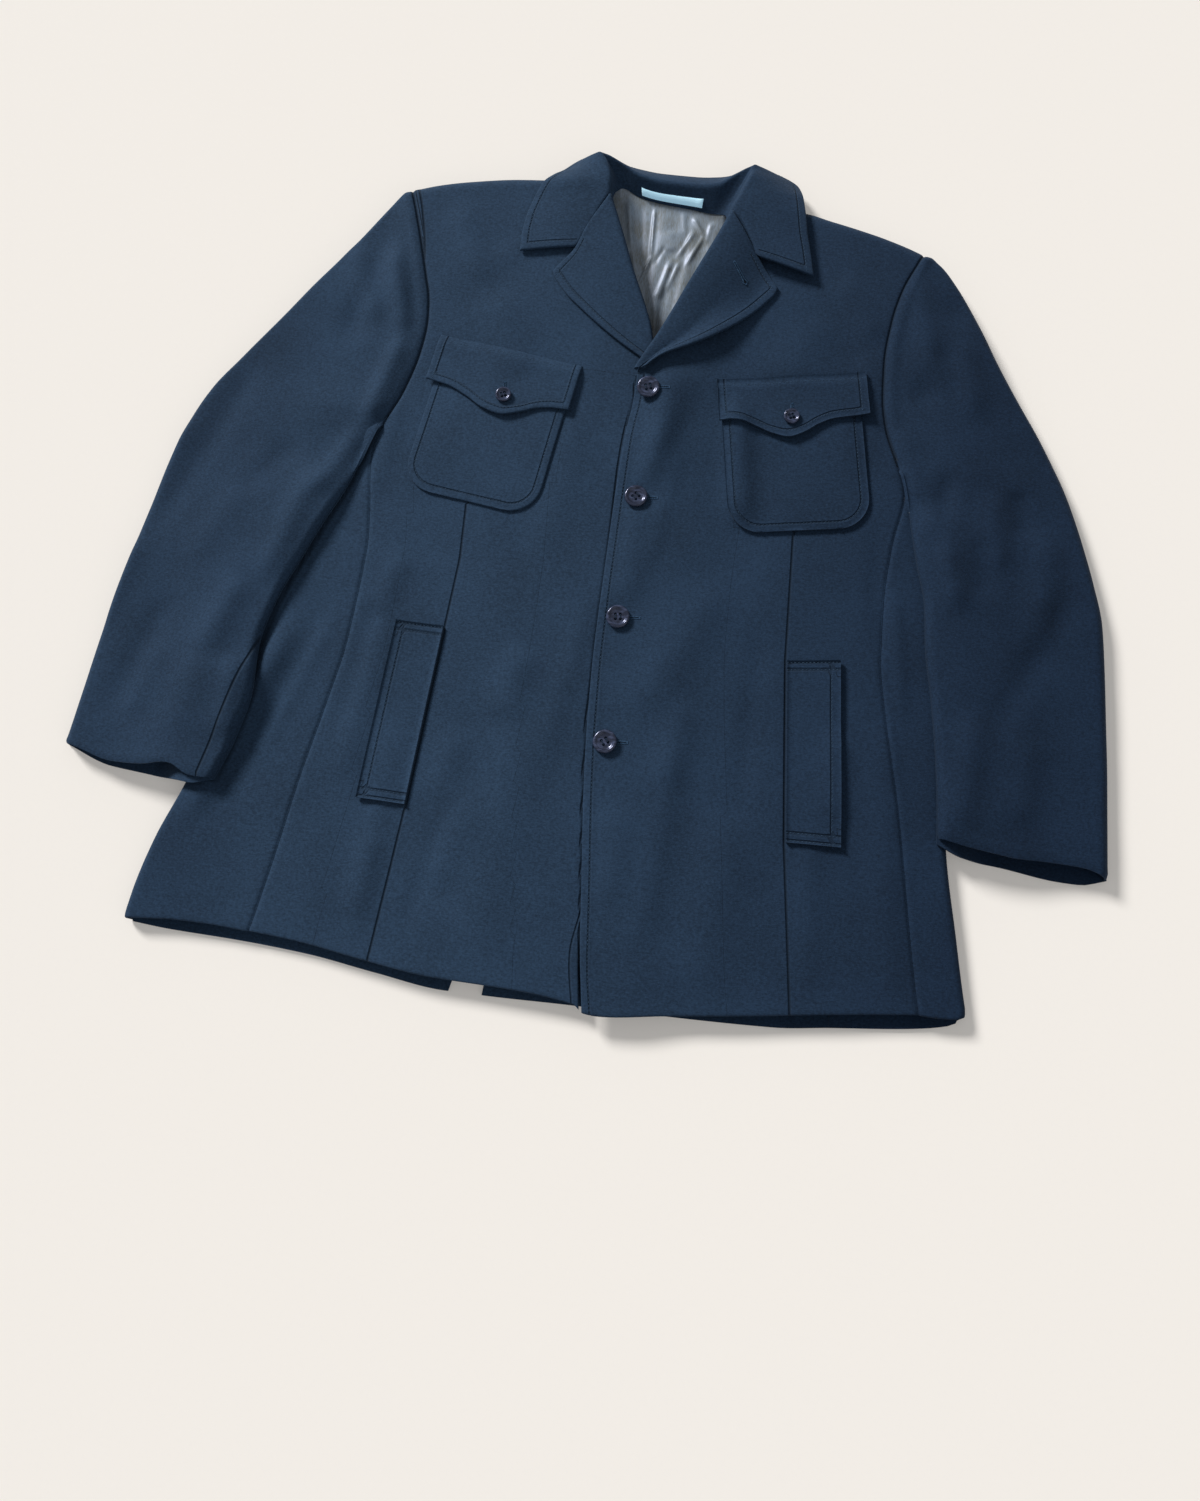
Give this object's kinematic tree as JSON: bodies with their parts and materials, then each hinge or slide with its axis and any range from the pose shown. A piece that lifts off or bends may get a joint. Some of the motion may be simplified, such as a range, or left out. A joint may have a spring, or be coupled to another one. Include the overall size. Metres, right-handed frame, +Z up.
{
  "type": "blazer",
  "caption": "Navy wool single-breasted blazer with notched lapels, patch pockets with flaps and slanted welt pockets, laid flat with the fronts buttoned.",
  "frame": {"origin": "on the surface the blazer lies on, under the button line, 150 mm below the top front button", "axes": "+X towards the wearer's left, +Y from hem to collar, +Z up from the surface through the back to the fronts"},
  "size_m": [0.888, 0.7914, 0.0341],
  "materials": {
    "wool": "matte wool twill",
    "satin_lining": "satin",
    "woven_label": "woven",
    "button_resin": "gloss"
  },
  "bodies": {
    "root": {"front_left": "wool", "front_right": "wool", "side_left": "wool", "side_right": "wool", "back_left": "wool", "back_right": "wool", "sleeve_top_left": "wool", "sleeve_top_right": "wool", "sleeve_under_left": "wool", "sleeve_under_right": "wool", "collar": "wool", "collar_stand": "wool", "lapel_left": "wool", "lapel_right": "wool", "pocket_left": "wool", "pocket_right": "wool", "flap_left": "wool", "flap_right": "wool", "welt_left": "wool", "welt_right": "wool", "lining": "satin_lining", "neck_label": "woven_label", "front_button_1": "button_resin", "front_button_2": "button_resin", "front_button_3": "button_resin", "front_button_4": "button_resin", "flap_button_left": "button_resin", "flap_button_right": "button_resin"}
  },
  "joints": []
}
